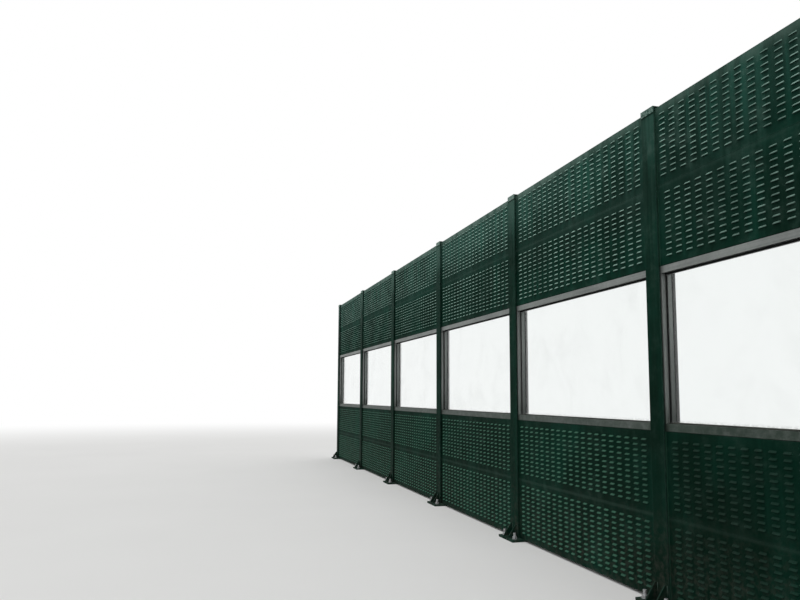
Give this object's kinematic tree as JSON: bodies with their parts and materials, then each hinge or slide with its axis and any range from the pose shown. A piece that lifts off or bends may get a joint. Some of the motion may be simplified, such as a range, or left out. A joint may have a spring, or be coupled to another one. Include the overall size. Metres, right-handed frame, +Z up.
{
  "type": "highway noise barrier",
  "caption": "Straight highway noise barrier: green H-section steel posts on base plates hold louvred metal sound-absorbing panels with a band of framed clear acrylic windows between them.",
  "frame": {"origin": "underside of the middle post's base plate, on the post's centre", "axes": "+X runs along the wall towards the end nearest the picture's viewpoint, -Y faces the road and +Z is up"},
  "size_m": [12.28, 0.3, 3.0345],
  "materials": {
    "post_paint": "weathered satin green paint on steel",
    "cap_paint": "faded green paint",
    "panel_paint": "green coated sheet, rain streaked",
    "frame_aluminium": "dull extruded aluminium",
    "clear_acrylic": "clear acrylic sheet",
    "black_rubber": "matt black rubber"
  },
  "bodies": {
    "root": {"post_1": "post_paint", "post_2": "post_paint", "post_3": "post_paint", "post_4": "post_paint", "post_5": "post_paint", "post_6": "post_paint", "post_7": "post_paint", "base_plates": "post_paint", "post_caps": "cap_paint", "bottom_panel_1": "panel_paint", "lower_panel_1": "panel_paint", "upper_panel_1": "panel_paint", "top_panel_1": "panel_paint", "bottom_panel_2": "panel_paint", "lower_panel_2": "panel_paint", "upper_panel_2": "panel_paint", "top_panel_2": "panel_paint", "bottom_panel_3": "panel_paint", "lower_panel_3": "panel_paint", "upper_panel_3": "panel_paint", "top_panel_3": "panel_paint", "bottom_panel_4": "panel_paint", "lower_panel_4": "panel_paint", "upper_panel_4": "panel_paint", "top_panel_4": "panel_paint", "bottom_panel_5": "panel_paint", "lower_panel_5": "panel_paint", "upper_panel_5": "panel_paint", "top_panel_5": "panel_paint", "bottom_panel_6": "panel_paint", "lower_panel_6": "panel_paint", "upper_panel_6": "panel_paint", "top_panel_6": "panel_paint", "window_frame_1": "frame_aluminium", "window_pane_1": "clear_acrylic", "window_frame_2": "frame_aluminium", "window_pane_2": "clear_acrylic", "window_frame_3": "frame_aluminium", "window_pane_3": "clear_acrylic", "window_frame_4": "frame_aluminium", "window_pane_4": "clear_acrylic", "window_frame_5": "frame_aluminium", "window_pane_5": "clear_acrylic", "window_frame_6": "frame_aluminium", "window_pane_6": "clear_acrylic", "pane_seals": "black_rubber", "window_packing": "black_rubber"}
  },
  "joints": []
}
